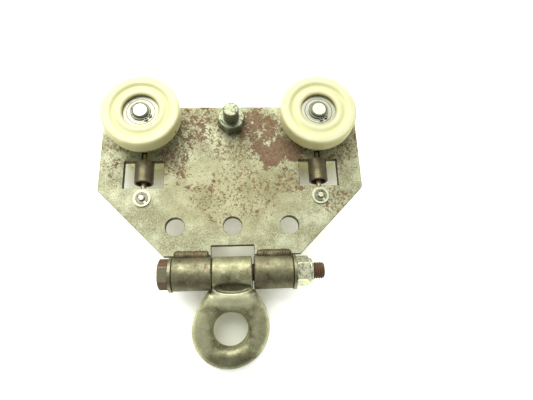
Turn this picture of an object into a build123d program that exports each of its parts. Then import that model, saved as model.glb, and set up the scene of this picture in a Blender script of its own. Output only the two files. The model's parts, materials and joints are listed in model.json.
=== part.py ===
from build123d import *

import os
from math import cos, radians, sin, sqrt

# A four-wheel hanging trolley for an enclosed overhead track. A flat carrier plate stands in the
# track's slot, two wheels on each face of it roll on the track's lips, two upright rollers in its
# windows guide it along the slot, and a forged eye hinged under it takes the load.
#
# Millimetres. X is the direction of travel, Y goes across the track and +Z is up. The origin is the
# middle of the four points where the wheels touch the track. The plate's middle plane is Y = 0.

# ---- driving dimensions ---------------------------------------------------------------------------

# carrier plate
PLATE_WIDTH = 200.0
PLATE_THICKNESS = 5.0
PLATE_TOP_Z = 44.5
PLATE_BOTTOM_Z = -76.7
PLATE_SHOULDER_Z = -26.0  # where the 45 degree corners start
PLATE_CORNER_RADIUS = 4.0
PLATE_EDGE_BREAK = 0.3
NOTCH_WIDTH = 31.0
NOTCH_TOP_Z = -69.5
WINDOW_WIDTH = 30.0
WINDOW_TOP_Z = -2.5
WINDOW_BOTTOM_Z = -24.5
HOLE_RADIUS = 7.0
HOLE_SPACING = 42.0
HOLE_ROW_Z = -55.0

# wheels, which stand in two pairs at plus and minus this distance along the track
WHEEL_X = 66.75
WHEEL_RADIUS = 29.0
WHEEL_INNER_D = 11.5  # distances called D are measured outwards from the plate's middle plane
WHEEL_OUTER_D = 25.5
WHEEL_LIP_RADIUS = 13.2
WHEEL_LIP_D = 24.1
WHEEL_LIP_CHAMFER = 0.8
# the moulded outer face, as radius beyond the lip and depth below the rim: hub crown, dish, rim and shoulder
WHEEL_HUB_CROWN = (3.0, 0.55)
WHEEL_DISH = (6.8, 1.15)
WHEEL_RIM_CROWN = (10.8, 0.0)
WHEEL_SHOULDER = (14.5, 0.65)
TREAD_EDGE_RADIUS = 28.8
TREAD_HALF_WIDTH = 5.2
TREAD_SIDE_RADIUS = 27.2

# deep-groove ball bearing, 12 x 28 x 8
BEARING_BORE_RADIUS = 6.01
BEARING_OUTER_RADIUS = 14.0
BEARING_WIDTH = 8.0
BEARING_INNER_D = 14.0
INNER_SHOULDER_RADIUS = 8.6
OUTER_SHOULDER_RADIUS = 11.5
SHIELD_SEAT_RADIUS = 12.0
SHIELD_SEAT_DEPTH = 0.7
SHIELD_INNER_RADIUS = 8.75
SHIELD_THICKNESS = 0.4
SHIELD_DEPTH = 0.25
BALL_COUNT = 8
BALL_RADIUS = 2.38
BALL_PITCH_RADIUS = 10.0
GROOVE_RADIUS = 2.45
CAGE_THICKNESS = 1.0
CAGE_WIDTH = 5.6
CAGE_POCKET_RADIUS = 2.43

# axles, spacer sleeves and the rings that keep the wheels on
AXLE_RADIUS = 6.0
AXLE_HALF_LENGTH = 25.0
AXLE_CHAMFER = 1.0
RING_GROOVE_RADIUS = 5.75
RING_GROOVE_WIDTH = 1.1
RING_THICKNESS = 1.0
RING_OUTER_RADIUS = 7.5
RING_CENTRE_SHIFT = 0.45  # the ring is thicker opposite its gap
RING_LUG_RADIUS = 1.45
RING_LUG_HOLE_RADIUS = 0.75
RING_LUG_PITCH_RADIUS = 7.6
RING_LUG_ANGLE = 15.0  # of each lug from the middle of the gap
RING_GAP_WIDTH = 1.1
RING_TURNS = {"front_left": -42.0, "front_right": -62.0, "rear_left": 115.0, "rear_right": 20.0}
SPACER_RADIUS = 8.5

# centre bolt, M12
M12_RADIUS = 6.0
M12_FLATS = 19.0
M12_HEAD_HEIGHT = 7.5
M12_NUT_HEIGHT = 10.0
THREAD_RADIUS = 5.9
LOCK_NUT_BORE_RADIUS = 5.95
CENTRE_NUT_BORE_RADIUS = 6.05
HEX_CHAMFER_SLOPE = 0.6  # of the cone that turns down a hexagon's corners
CENTRE_BOLT_Z = 29.5
CENTRE_BOLT_END_D = 24.4
CENTRE_BOLT_ROUND = 1.0
CENTRE_NUT_TURN = 15.8
CENTRE_WASHER_RADIUS = 12.0
CENTRE_WASHER_THICKNESS = 2.5
PLATE_BOLT_HOLE_RADIUS = 6.2

# guide rollers in the windows, on upright pins let into the plate's edges
ROLLER_RADIUS = 7.2
ROLLER_LENGTH = 17.5
ROLLER_TOP_GAP = 0.35
ROLLER_BORE_RADIUS = 2.06
ROLLER_RECESS_RADIUS = 5.9
ROLLER_RECESS_DEPTH = 3.6
ROLLER_GROOVE_HEIGHT = 3.6  # of the turned line above the roller's lower end
ROLLER_GROOVE_WIDTH = 0.5
ROLLER_GROOVE_DEPTH = 0.15
ROLLER_EDGE_BREAK = 0.3
ROLLER_PIN_RADIUS = 2.0
ROLLER_PIN_TOP_Z = 3.5
PIN_SEAT_RADIUS = 2.02
PIN_SEAT_TOP_Z = 4.5
PIN_SEAT_BOTTOM_Z = -37.5  # deep enough to push the pin down clear of the window's top
SEAT_SLOT_WIDTH = 4.4
SEAT_SLOT_BOTTOM_Z = -0.9

# cross pins that keep the roller pins up, each with a washer and a spring clip
CROSS_PIN_Z = -32.75
CROSS_PIN_RADIUS = 2.45
CROSS_PIN_HOLE_RADIUS = 2.5
CROSS_PIN_HEAD_RADIUS = 4.5
CROSS_PIN_HEAD_HEIGHT = 1.6
CROSS_PIN_END_D = 5.7
CROSS_PIN_NECK_RADIUS = 1.9
CROSS_PIN_CHAMFER = 0.6
CROSS_WASHER_RADIUS = 6.5
CROSS_WASHER_BORE_RADIUS = 2.6
CROSS_WASHER_THICKNESS = 1.2
CLIP_RADIUS = 4.7
CLIP_RELIEF_RADIUS = 3.1
CLIP_LUG_COUNT = 3
CLIP_THICKNESS = 0.7
CLIP_GAP_WIDTH = 2.0
CLIP_CLEARANCE = 0.05
CLIP_TURN = -52.0

# hinge: two welded tubes, one long bolt and the load eye between them
HINGE_Z = -89.0
TUBE_RADIUS = 12.0
TUBE_BORE_RADIUS = 6.15
TUBE_INNER_X = 15.0
TUBE_OUTER_X = 42.5
TUBE_EDGE_BREAK = 0.6
WELD_RADIUS = 3.8
WELD_CENTRE_D = 3.4
WELD_CENTRE_Z = -76.8
WELD_INNER_X = 15.6
WELD_OUTER_X = 42.2
HINGE_BOLT_LENGTH = 110.0
HINGE_THREAD_LENGTH = 30.0
HINGE_BOLT_CHAMFER = 1.1
HINGE_HEAD_TURN = 38.9
WASHER_RADIUS = 12.3
WASHER_BORE_RADIUS = 6.5
WASHER_THICKNESS = 2.0
WASHER_GAP = 0.3  # the bolt isn't drawn up tight
WASHER_DROP = 0.45  # the washers hang on the bolt by their bores
LOCK_NUT_HEX_HEIGHT = 9.0
LOCK_NUT_HEIGHT = 12.0
LOCK_NUT_COLLAR_RADIUS = 9.0
LOCK_NUT_COLLAR_ROUND = 1.2
LOCK_NUT_TURN = 38.5
INSERT_RADIUS = 7.4
INSERT_HEIGHT = 2.2

# load eye
EYE_X = -0.6  # it has slid against the left tube
EYE_TILT = 16.5  # its lower end stands back from hanging straight down
EYE_BARREL_RADIUS = 11.7
EYE_BARREL_LENGTH = 28.0
EYE_BORE_RADIUS = 6.06
EYE_BARREL_EDGE_BREAK = 0.5
EYE_RING_X = -2.3  # the forging isn't quite symmetrical
EYE_RING_DROP = 39.6  # from the hinge axis to the middle of the ring
EYE_HOLE_RADIUS = 12.3
EYE_OUTER_RADIUS = 27.7
EYE_THICKNESS = 15.0
EYE_OUTER_ROUND = 7.3
EYE_INNER_ROUND = 4.5
# the hollow under the barrel on each face
EYE_HOLLOW_DROP = 13.4
EYE_HOLLOW_LENGTH = 24.0
EYE_HOLLOW_HEIGHT = 5.2
EYE_HOLLOW_FLOOR = 4.6  # from the middle of the forging
# sections of the neck between the tubes and of the shoulders below them: distance below the hinge
# axis, width and depth
EYE_NECK = [(6.0, 26.8, 19.4), (13.2, 26.8, 13.6)]
EYE_SHOULDERS = [(12.7, 32.6, 11.6), (14.2, 35.6, 13.8), (26.0, 48.4, 14.0)]
EYE_NECK_ROUND = 5.6

# ---- worked out from them -------------------------------------------------------------------------

FACE_D = PLATE_THICKNESS / 2
WHEEL_Z = WHEEL_RADIUS
BEARING_OUTER_D = BEARING_INNER_D + BEARING_WIDTH
BEARING_MID_D = BEARING_INNER_D + BEARING_WIDTH / 2
HEX_RADIUS = M12_FLATS / sqrt(3)
LOCK_NUT_X = TUBE_OUTER_X + WASHER_GAP + WASHER_THICKNESS
HINGE_HEAD_X = -LOCK_NUT_X
HINGE_END_X = HINGE_HEAD_X + HINGE_BOLT_LENGTH
CUT_MARGIN = 1.0  # how far a cutting shape runs past what it cuts

ENDS = {"left": -1, "right": 1}
SIDES = {"front": -1, "rear": 1}


def across(x, y, z, turn=0.0):
    """A plane facing the front, -Y, with its own y axis up, turned about its normal."""
    return Plane(origin=(x, y, z), x_dir=(cos(radians(turn)), 0, sin(radians(turn))), z_dir=(0, -1, 0))


def section(x, z, side):
    """A plane for half sections of turned parts about a Y axis: x is the radius and y is D."""
    return Plane(origin=(x, 0, z), x_dir=(1, 0, 0), z_dir=(0, 0, side))


def hinge_plane(x, turn=0.0):
    """A plane across the hinge axis at x, facing +X, turned about that axis."""
    return Plane(origin=(x, 0, HINGE_Z), x_dir=(0, cos(radians(turn)), sin(radians(turn))), z_dir=(1, 0, 0))


def build_hexagon(seat, height):
    """The hexagon of a nut or bolt head on its seat plane, with its corners turned down at both ends."""
    fall = (HEX_RADIUS - M12_FLATS / 2) * HEX_CHAMFER_SLOPE
    with BuildPart() as hexagon:
        with BuildSketch(seat):
            RegularPolygon(HEX_RADIUS, 6)
        extrude(amount=height)
        with BuildSketch(Plane(origin=seat.origin, x_dir=seat.x_dir, z_dir=-seat.y_dir)):
            with BuildLine():
                Polyline(
                    (0, 0),
                    (M12_FLATS / 2, 0),
                    (HEX_RADIUS, fall),
                    (HEX_RADIUS, height - fall),
                    (M12_FLATS / 2, height),
                    (0, height),
                    close=True,
                )
            make_face()
        revolve(axis=Axis(seat.origin, seat.z_dir), mode=Mode.INTERSECT)
    return hexagon.part


def save(piece, name):
    """Label a finished piece and write it to its own file."""
    piece.part.label = name
    export_step(piece.part, f"parts/{name}.step")


os.makedirs("parts", exist_ok=True)


# ---- carrier plate --------------------------------------------------------------------------------

half_width = PLATE_WIDTH / 2
corner_x = half_width - (PLATE_SHOULDER_Z - PLATE_BOTTOM_Z)

with BuildPart() as main_plate:
    with BuildSketch(Plane.XZ) as outline:
        with BuildLine():
            Polyline(
                (-half_width, PLATE_TOP_Z),
                (half_width, PLATE_TOP_Z),
                (half_width, PLATE_SHOULDER_Z),
                (corner_x, PLATE_BOTTOM_Z),
                (NOTCH_WIDTH / 2, PLATE_BOTTOM_Z),
                (NOTCH_WIDTH / 2, NOTCH_TOP_Z),
                (-NOTCH_WIDTH / 2, NOTCH_TOP_Z),
                (-NOTCH_WIDTH / 2, PLATE_BOTTOM_Z),
                (-corner_x, PLATE_BOTTOM_Z),
                (-half_width, PLATE_SHOULDER_Z),
                close=True,
            )
        make_face()
        fillet(outline.vertices().filter_by_position(Axis.Y, PLATE_SHOULDER_Z - 1, PLATE_SHOULDER_Z + 1),
               PLATE_CORNER_RADIUS)
        window_z = (WINDOW_TOP_Z + WINDOW_BOTTOM_Z) / 2
        with Locations((-WHEEL_X, window_z), (WHEEL_X, window_z)):
            Rectangle(WINDOW_WIDTH, WINDOW_TOP_Z - WINDOW_BOTTOM_Z, mode=Mode.SUBTRACT)
        with Locations((-HOLE_SPACING, HOLE_ROW_Z), (0, HOLE_ROW_Z), (HOLE_SPACING, HOLE_ROW_Z)):
            Circle(HOLE_RADIUS, mode=Mode.SUBTRACT)
        with Locations((-WHEEL_X, WHEEL_Z), (WHEEL_X, WHEEL_Z)):
            Circle(AXLE_RADIUS, mode=Mode.SUBTRACT)
        with Locations((-WHEEL_X, CROSS_PIN_Z), (WHEEL_X, CROSS_PIN_Z)):
            Circle(CROSS_PIN_HOLE_RADIUS, mode=Mode.SUBTRACT)
        with Locations((0, CENTRE_BOLT_Z)):
            Circle(PLATE_BOLT_HOLE_RADIUS, mode=Mode.SUBTRACT)
    extrude(amount=FACE_D, both=True)
    rims = main_plate.faces().filter_by(Axis.Y).edges()
    chamfer(rims, PLATE_EDGE_BREAK)
    # the roller pins' seats, drilled into the plate's edge above and below each window
    with Locations((-WHEEL_X, 0, PIN_SEAT_BOTTOM_Z), (WHEEL_X, 0, PIN_SEAT_BOTTOM_Z)):
        Cylinder(PIN_SEAT_RADIUS, PIN_SEAT_TOP_Z - PIN_SEAT_BOTTOM_Z,
                 align=(Align.CENTER, Align.CENTER, Align.MIN), mode=Mode.SUBTRACT)
    # the front face is slotted open over each upper seat
    slot_height = PIN_SEAT_TOP_Z - SEAT_SLOT_BOTTOM_Z
    with Locations((-WHEEL_X, -FACE_D, SEAT_SLOT_BOTTOM_Z), (WHEEL_X, -FACE_D, SEAT_SLOT_BOTTOM_Z)):
        Box(SEAT_SLOT_WIDTH, PLATE_THICKNESS, slot_height,
            align=(Align.CENTER, Align.CENTER, Align.MIN), mode=Mode.SUBTRACT)
save(main_plate, "main_plate")


# ---- wheels and bearings --------------------------------------------------------------------------

def build_wheel(x, side):
    """The moulded nylon wheel: crowned tread, dished outer face and a pocket round its bearing."""
    tread_mid_d = (WHEEL_INNER_D + WHEEL_OUTER_D) / 2
    tread_in = (TREAD_EDGE_RADIUS, tread_mid_d - TREAD_HALF_WIDTH)
    tread_out = (TREAD_EDGE_RADIUS, tread_mid_d + TREAD_HALF_WIDTH)
    side_foot = (TREAD_SIDE_RADIUS, WHEEL_INNER_D)
    face = [
        (WHEEL_LIP_RADIUS + beyond, WHEEL_OUTER_D - below)
        for beyond, below in (WHEEL_HUB_CROWN, WHEEL_DISH, WHEEL_RIM_CROWN, WHEEL_SHOULDER)
    ]
    with BuildPart() as wheel:
        with BuildSketch(section(x, WHEEL_Z, side)):
            with BuildLine():
                Spline((WHEEL_LIP_RADIUS, WHEEL_LIP_D), *face, tread_out, tangents=[(1, 1), (0, -1)])
                ThreePointArc(tread_out, (WHEEL_RADIUS, tread_mid_d), tread_in)
                Spline(tread_in, side_foot, tangents=[(0, -1), (-1, 0)])
                Polyline(
                    side_foot,
                    (WHEEL_LIP_RADIUS + WHEEL_LIP_CHAMFER, WHEEL_INNER_D),
                    (WHEEL_LIP_RADIUS, WHEEL_INNER_D + WHEEL_LIP_CHAMFER),
                    (WHEEL_LIP_RADIUS, BEARING_INNER_D),
                    (BEARING_OUTER_RADIUS, BEARING_INNER_D),
                    (BEARING_OUTER_RADIUS, BEARING_OUTER_D),
                    (WHEEL_LIP_RADIUS, BEARING_OUTER_D),
                    (WHEEL_LIP_RADIUS, WHEEL_LIP_D),
                )
            make_face()
        revolve(axis=Axis((x, 0, WHEEL_Z), (0, 1, 0)))
    return wheel


def build_outer_ring(x, side):
    """The bearing's outer ring, with its ball groove and a seat for a shield at each end."""
    groove_half = sqrt(GROOVE_RADIUS**2 - (OUTER_SHOULDER_RADIUS - BALL_PITCH_RADIUS) ** 2)
    with BuildPart() as ring:
        with BuildSketch(section(x, WHEEL_Z, side)):
            with BuildLine():
                Polyline(
                    (OUTER_SHOULDER_RADIUS, BEARING_MID_D + groove_half),
                    (OUTER_SHOULDER_RADIUS, BEARING_OUTER_D - SHIELD_SEAT_DEPTH),
                    (SHIELD_SEAT_RADIUS, BEARING_OUTER_D - SHIELD_SEAT_DEPTH),
                    (SHIELD_SEAT_RADIUS, BEARING_OUTER_D),
                    (BEARING_OUTER_RADIUS, BEARING_OUTER_D),
                    (BEARING_OUTER_RADIUS, BEARING_INNER_D),
                    (SHIELD_SEAT_RADIUS, BEARING_INNER_D),
                    (SHIELD_SEAT_RADIUS, BEARING_INNER_D + SHIELD_SEAT_DEPTH),
                    (OUTER_SHOULDER_RADIUS, BEARING_INNER_D + SHIELD_SEAT_DEPTH),
                    (OUTER_SHOULDER_RADIUS, BEARING_MID_D - groove_half),
                )
                ThreePointArc(
                    (OUTER_SHOULDER_RADIUS, BEARING_MID_D - groove_half),
                    (BALL_PITCH_RADIUS + GROOVE_RADIUS, BEARING_MID_D),
                    (OUTER_SHOULDER_RADIUS, BEARING_MID_D + groove_half),
                )
            make_face()
        revolve(axis=Axis((x, 0, WHEEL_Z), (0, 1, 0)))
    return ring


def build_inner_ring(x, side):
    """The bearing's inner ring, a slip fit on the axle."""
    groove_half = sqrt(GROOVE_RADIUS**2 - (BALL_PITCH_RADIUS - INNER_SHOULDER_RADIUS) ** 2)
    with BuildPart() as ring:
        with BuildSketch(section(x, WHEEL_Z, side)):
            with BuildLine():
                Polyline(
                    (INNER_SHOULDER_RADIUS, BEARING_MID_D - groove_half),
                    (INNER_SHOULDER_RADIUS, BEARING_INNER_D),
                    (BEARING_BORE_RADIUS, BEARING_INNER_D),
                    (BEARING_BORE_RADIUS, BEARING_OUTER_D),
                    (INNER_SHOULDER_RADIUS, BEARING_OUTER_D),
                    (INNER_SHOULDER_RADIUS, BEARING_MID_D + groove_half),
                )
                ThreePointArc(
                    (INNER_SHOULDER_RADIUS, BEARING_MID_D + groove_half),
                    (BALL_PITCH_RADIUS - GROOVE_RADIUS, BEARING_MID_D),
                    (INNER_SHOULDER_RADIUS, BEARING_MID_D - groove_half),
                )
            make_face()
        revolve(axis=Axis((x, 0, WHEEL_Z), (0, 1, 0)))
    return ring


def build_balls(x, side):
    """The bearing's balls."""
    with BuildPart() as balls:
        with Locations(across(x, side * BEARING_MID_D, WHEEL_Z)):
            with PolarLocations(BALL_PITCH_RADIUS, BALL_COUNT):
                Sphere(BALL_RADIUS)
    return balls


def build_cage(x, side):
    """The one-piece cage that keeps the balls apart."""
    with BuildPart() as cage:
        with Locations(across(x, side * BEARING_MID_D, WHEEL_Z)):
            Cylinder(BALL_PITCH_RADIUS + CAGE_THICKNESS / 2, CAGE_WIDTH)
            Cylinder(BALL_PITCH_RADIUS - CAGE_THICKNESS / 2, CAGE_WIDTH, mode=Mode.SUBTRACT)
            with PolarLocations(BALL_PITCH_RADIUS, BALL_COUNT):
                Cylinder(CAGE_POCKET_RADIUS, 3 * CAGE_THICKNESS, rotation=(0, 90, 0), mode=Mode.SUBTRACT)
    return cage


def build_shields(x, side):
    """The pair of thin shields snapped into the outer ring."""
    shield_offset = BEARING_WIDTH / 2 - SHIELD_DEPTH - SHIELD_THICKNESS / 2
    with BuildPart() as shields:
        with Locations(across(x, side * (BEARING_MID_D - shield_offset), WHEEL_Z),
                       across(x, side * (BEARING_MID_D + shield_offset), WHEEL_Z)):
            Cylinder(SHIELD_SEAT_RADIUS, SHIELD_THICKNESS)
            Cylinder(SHIELD_INNER_RADIUS, SHIELD_THICKNESS, mode=Mode.SUBTRACT)
    return shields


def build_retaining_ring(x, side, turn):
    """The external spring ring in the axle's groove, with a holed lug on each side of its gap."""
    with BuildPart() as ring:
        with BuildSketch(across(x, side * (BEARING_OUTER_D + RING_GROOVE_WIDTH / 2), WHEEL_Z, turn)):
            with Locations((-RING_CENTRE_SHIFT, 0)):
                Circle(RING_OUTER_RADIUS)
            with PolarLocations(RING_LUG_PITCH_RADIUS, 2, -RING_LUG_ANGLE, 2 * RING_LUG_ANGLE, endpoint=True):
                Circle(RING_LUG_RADIUS)
                Circle(RING_LUG_HOLE_RADIUS, mode=Mode.SUBTRACT)
            Circle(RING_GROOVE_RADIUS, mode=Mode.SUBTRACT)
            with Locations((RING_LUG_PITCH_RADIUS, 0)):
                Rectangle(2 * RING_GROOVE_RADIUS, RING_GAP_WIDTH, mode=Mode.SUBTRACT)
        extrude(amount=RING_THICKNESS / 2, both=True)
    return ring


def build_spacer(x, side):
    """The sleeve between the plate and the bearing's inner ring."""
    length = BEARING_INNER_D - FACE_D
    with BuildPart() as spacer:
        with Locations(across(x, side * (FACE_D + length / 2), WHEEL_Z)):
            Cylinder(SPACER_RADIUS, length)
            Cylinder(BEARING_BORE_RADIUS, length, mode=Mode.SUBTRACT)
    return spacer


def build_axle(x):
    """The plain axle pressed through the plate, grooved near both ends."""
    groove_near = BEARING_OUTER_D
    groove_far = BEARING_OUTER_D + RING_GROOVE_WIDTH
    with BuildPart() as axle:
        with Locations(across(x, 0, WHEEL_Z)):
            Cylinder(AXLE_RADIUS, 2 * AXLE_HALF_LENGTH)
        chamfer(axle.edges().filter_by(GeomType.CIRCLE), AXLE_CHAMFER)
        for side in SIDES.values():
            with Locations(across(x, side * (groove_near + groove_far) / 2, WHEEL_Z)):
                Cylinder(AXLE_RADIUS + CUT_MARGIN, RING_GROOVE_WIDTH, mode=Mode.SUBTRACT)
                Cylinder(RING_GROOVE_RADIUS, RING_GROOVE_WIDTH)
    return axle


for end, end_sign in ENDS.items():
    wheel_x = end_sign * WHEEL_X
    save(build_axle(wheel_x), f"axle_{end}")
    for side_name, side_sign in SIDES.items():
        place = f"{side_name}_{end}"
        save(build_wheel(wheel_x, side_sign), f"wheel_{place}")
        save(build_outer_ring(wheel_x, side_sign), f"bearing_outer_ring_{place}")
        save(build_inner_ring(wheel_x, side_sign), f"bearing_inner_ring_{place}")
        save(build_balls(wheel_x, side_sign), f"bearing_balls_{place}")
        save(build_cage(wheel_x, side_sign), f"bearing_cage_{place}")
        save(build_shields(wheel_x, side_sign), f"bearing_shields_{place}")
        save(build_spacer(wheel_x, side_sign), f"spacer_{place}")
        save(build_retaining_ring(wheel_x, side_sign, RING_TURNS[place]), f"retaining_ring_{place}")


# ---- centre bolt ----------------------------------------------------------------------------------

head_seat_d = FACE_D + CENTRE_WASHER_THICKNESS
centre_bolt_head = build_hexagon(
    Plane(origin=(0, head_seat_d, CENTRE_BOLT_Z), x_dir=(1, 0, 0), z_dir=(0, 1, 0)), M12_HEAD_HEIGHT
)
centre_nut_hexagon = build_hexagon(across(0, -FACE_D, CENTRE_BOLT_Z, CENTRE_NUT_TURN), M12_NUT_HEIGHT)

with BuildPart() as centre_bolt:
    with BuildSketch(across(0, head_seat_d, CENTRE_BOLT_Z)):
        Circle(M12_RADIUS)
    extrude(amount=head_seat_d + CENTRE_BOLT_END_D)
    fillet(centre_bolt.edges().filter_by(GeomType.CIRCLE).sort_by(Axis.Y)[0], CENTRE_BOLT_ROUND)
    add(centre_bolt_head)
save(centre_bolt, "centre_bolt")

with BuildPart() as centre_washer:
    with Locations(across(0, FACE_D + CENTRE_WASHER_THICKNESS / 2, CENTRE_BOLT_Z)):
        Cylinder(CENTRE_WASHER_RADIUS, CENTRE_WASHER_THICKNESS)
        Cylinder(PLATE_BOLT_HOLE_RADIUS, CENTRE_WASHER_THICKNESS, mode=Mode.SUBTRACT)
save(centre_washer, "centre_washer")

with BuildPart() as centre_nut:
    add(centre_nut_hexagon)
    with Locations(across(0, -FACE_D - M12_NUT_HEIGHT / 2, CENTRE_BOLT_Z)):
        Cylinder(CENTRE_NUT_BORE_RADIUS, M12_NUT_HEIGHT, mode=Mode.SUBTRACT)
save(centre_nut, "centre_nut")


# ---- guide rollers and their pins -----------------------------------------------------------------

roller_top_z = WINDOW_TOP_Z - ROLLER_TOP_GAP
roller_bottom_z = roller_top_z - ROLLER_LENGTH
roller_pin_bottom_z = CROSS_PIN_Z + CROSS_PIN_HOLE_RADIUS
upwards = (Align.CENTER, Align.CENTER, Align.MIN)
downwards = (Align.CENTER, Align.CENTER, Align.MAX)


def build_guide_roller(x):
    """A plain turned roller with a deep recess in each end."""
    with BuildPart() as roller:
        with Locations((x, 0, roller_bottom_z)):
            Cylinder(ROLLER_RADIUS, ROLLER_LENGTH, align=upwards)
        chamfer(roller.edges().filter_by(GeomType.CIRCLE), ROLLER_EDGE_BREAK)
        with Locations((x, 0, roller_bottom_z)):
            Cylinder(ROLLER_RECESS_RADIUS, ROLLER_RECESS_DEPTH, align=upwards, mode=Mode.SUBTRACT)
            Cylinder(ROLLER_BORE_RADIUS, ROLLER_LENGTH, align=upwards, mode=Mode.SUBTRACT)
        with Locations((x, 0, roller_top_z)):
            Cylinder(ROLLER_RECESS_RADIUS, ROLLER_RECESS_DEPTH, align=downwards, mode=Mode.SUBTRACT)
        with BuildSketch(Plane.XY.offset(roller_bottom_z + ROLLER_GROOVE_HEIGHT)):
            with Locations((x, 0)):
                Circle(ROLLER_RADIUS + CUT_MARGIN)
                Circle(ROLLER_RADIUS - ROLLER_GROOVE_DEPTH, mode=Mode.SUBTRACT)
        extrude(amount=ROLLER_GROOVE_WIDTH, mode=Mode.SUBTRACT)
    return roller


def build_roller_pin(x):
    """The roller's upright pin, held up by the cross pin under its lower end."""
    with BuildPart() as pin:
        with Locations((x, 0, roller_pin_bottom_z)):
            Cylinder(ROLLER_PIN_RADIUS, ROLLER_PIN_TOP_Z - roller_pin_bottom_z, align=upwards)
    return pin


for end, end_sign in ENDS.items():
    save(build_guide_roller(end_sign * WHEEL_X), f"guide_roller_{end}")
    save(build_roller_pin(end_sign * WHEEL_X), f"roller_pin_{end}")

clip_d = FACE_D + CROSS_WASHER_THICKNESS + CLIP_CLEARANCE

with BuildPart() as cross_pins:
    with BuildSketch(across(0, FACE_D, CROSS_PIN_Z)) as shank:
        with Locations((-WHEEL_X, 0), (WHEEL_X, 0)):
            Circle(CROSS_PIN_RADIUS)
    extrude(amount=FACE_D + CROSS_PIN_END_D)
    chamfer(cross_pins.faces().sort_by(Axis.Y)[:2].edges(), CROSS_PIN_CHAMFER)
    with Locations(across(-WHEEL_X, -clip_d - CLIP_THICKNESS / 2, CROSS_PIN_Z),
                   across(WHEEL_X, -clip_d - CLIP_THICKNESS / 2, CROSS_PIN_Z)):
        Cylinder(CROSS_PIN_RADIUS + CUT_MARGIN, CLIP_THICKNESS + CLIP_CLEARANCE, mode=Mode.SUBTRACT)
        Cylinder(CROSS_PIN_NECK_RADIUS, CLIP_THICKNESS + CLIP_CLEARANCE)
    with BuildSketch(across(0, FACE_D, CROSS_PIN_Z)):
        with Locations((-WHEEL_X, 0), (WHEEL_X, 0)):
            Circle(CROSS_PIN_HEAD_RADIUS)
    extrude(amount=-CROSS_PIN_HEAD_HEIGHT)
save(cross_pins, "cross_pins")

with BuildPart() as cross_pin_washers:
    with BuildSketch(across(0, -FACE_D, CROSS_PIN_Z)):
        with Locations((-WHEEL_X, 0), (WHEEL_X, 0)):
            Circle(CROSS_WASHER_RADIUS)
            Circle(CROSS_WASHER_BORE_RADIUS, mode=Mode.SUBTRACT)
    extrude(amount=CROSS_WASHER_THICKNESS)
save(cross_pin_washers, "cross_pin_washers")

with BuildPart() as cross_pin_clips:
    for end_sign in ENDS.values():
        with BuildSketch(across(end_sign * WHEEL_X, -clip_d, CROSS_PIN_Z, CLIP_TURN)):
            Circle(CLIP_RADIUS)
            Circle(CLIP_RELIEF_RADIUS, mode=Mode.SUBTRACT)
            # lugs reach in to the pin's neck, the middle one opposite the gap
            with PolarLocations(CLIP_RELIEF_RADIUS, CLIP_LUG_COUNT, start_angle=180 / CLIP_LUG_COUNT):
                Circle(CLIP_RELIEF_RADIUS - CROSS_PIN_NECK_RADIUS)
            Circle(CROSS_PIN_NECK_RADIUS, mode=Mode.SUBTRACT)
            with Locations((CLIP_RADIUS, 0)):
                Rectangle(CLIP_RADIUS, CLIP_GAP_WIDTH, mode=Mode.SUBTRACT)
        extrude(amount=CLIP_THICKNESS)
save(cross_pin_clips, "cross_pin_clips")


# ---- hinge ----------------------------------------------------------------------------------------

for end, end_sign in ENDS.items():
    with BuildPart() as hinge_tube:
        with BuildSketch(hinge_plane(end_sign * TUBE_INNER_X)):
            Circle(TUBE_RADIUS)
            Circle(TUBE_BORE_RADIUS, mode=Mode.SUBTRACT)
        extrude(amount=end_sign * (TUBE_OUTER_X - TUBE_INNER_X))
        chamfer(hinge_tube.edges().filter_by(GeomType.CIRCLE), TUBE_EDGE_BREAK)
    save(hinge_tube, f"hinge_tube_{end}")

weld_length = WELD_OUTER_X - WELD_INNER_X - 2 * WELD_RADIUS
weld_mid_x = (WELD_OUTER_X + WELD_INNER_X) / 2

with BuildPart() as hinge_welds:
    for end_sign in ENDS.values():
        for side_sign in SIDES.values():
            with Locations((end_sign * weld_mid_x, side_sign * WELD_CENTRE_D, WELD_CENTRE_Z)):
                Cylinder(WELD_RADIUS, weld_length, rotation=(0, 90, 0))
                with Locations((-weld_length / 2, 0, 0), (weld_length / 2, 0, 0)):
                    Sphere(WELD_RADIUS)
    with Locations((0, 0, PLATE_BOTTOM_Z)):
        Box(PLATE_WIDTH, PLATE_THICKNESS, 2 * TUBE_RADIUS, mode=Mode.SUBTRACT)
    with Locations((0, 0, HINGE_Z)):
        Cylinder(TUBE_RADIUS, PLATE_WIDTH, rotation=(0, 90, 0), mode=Mode.SUBTRACT)
save(hinge_welds, "hinge_welds")

head_end_x = HINGE_HEAD_X - M12_HEAD_HEIGHT
hinge_bolt_head = build_hexagon(hinge_plane(head_end_x, HINGE_HEAD_TURN), M12_HEAD_HEIGHT)
lock_nut_hexagon = build_hexagon(hinge_plane(LOCK_NUT_X, LOCK_NUT_TURN), LOCK_NUT_HEX_HEIGHT)

with BuildPart() as hinge_bolt:
    add(hinge_bolt_head)
    with BuildSketch(hinge_plane(HINGE_HEAD_X)):
        Circle(M12_RADIUS)
    extrude(amount=HINGE_BOLT_LENGTH - HINGE_THREAD_LENGTH)
    with BuildSketch(hinge_plane(HINGE_END_X - HINGE_THREAD_LENGTH)):
        Circle(THREAD_RADIUS)
    extrude(amount=HINGE_THREAD_LENGTH)
    chamfer(hinge_bolt.edges().filter_by(GeomType.CIRCLE).sort_by(Axis.X)[-1], HINGE_BOLT_CHAMFER)
save(hinge_bolt, "hinge_bolt")

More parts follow.
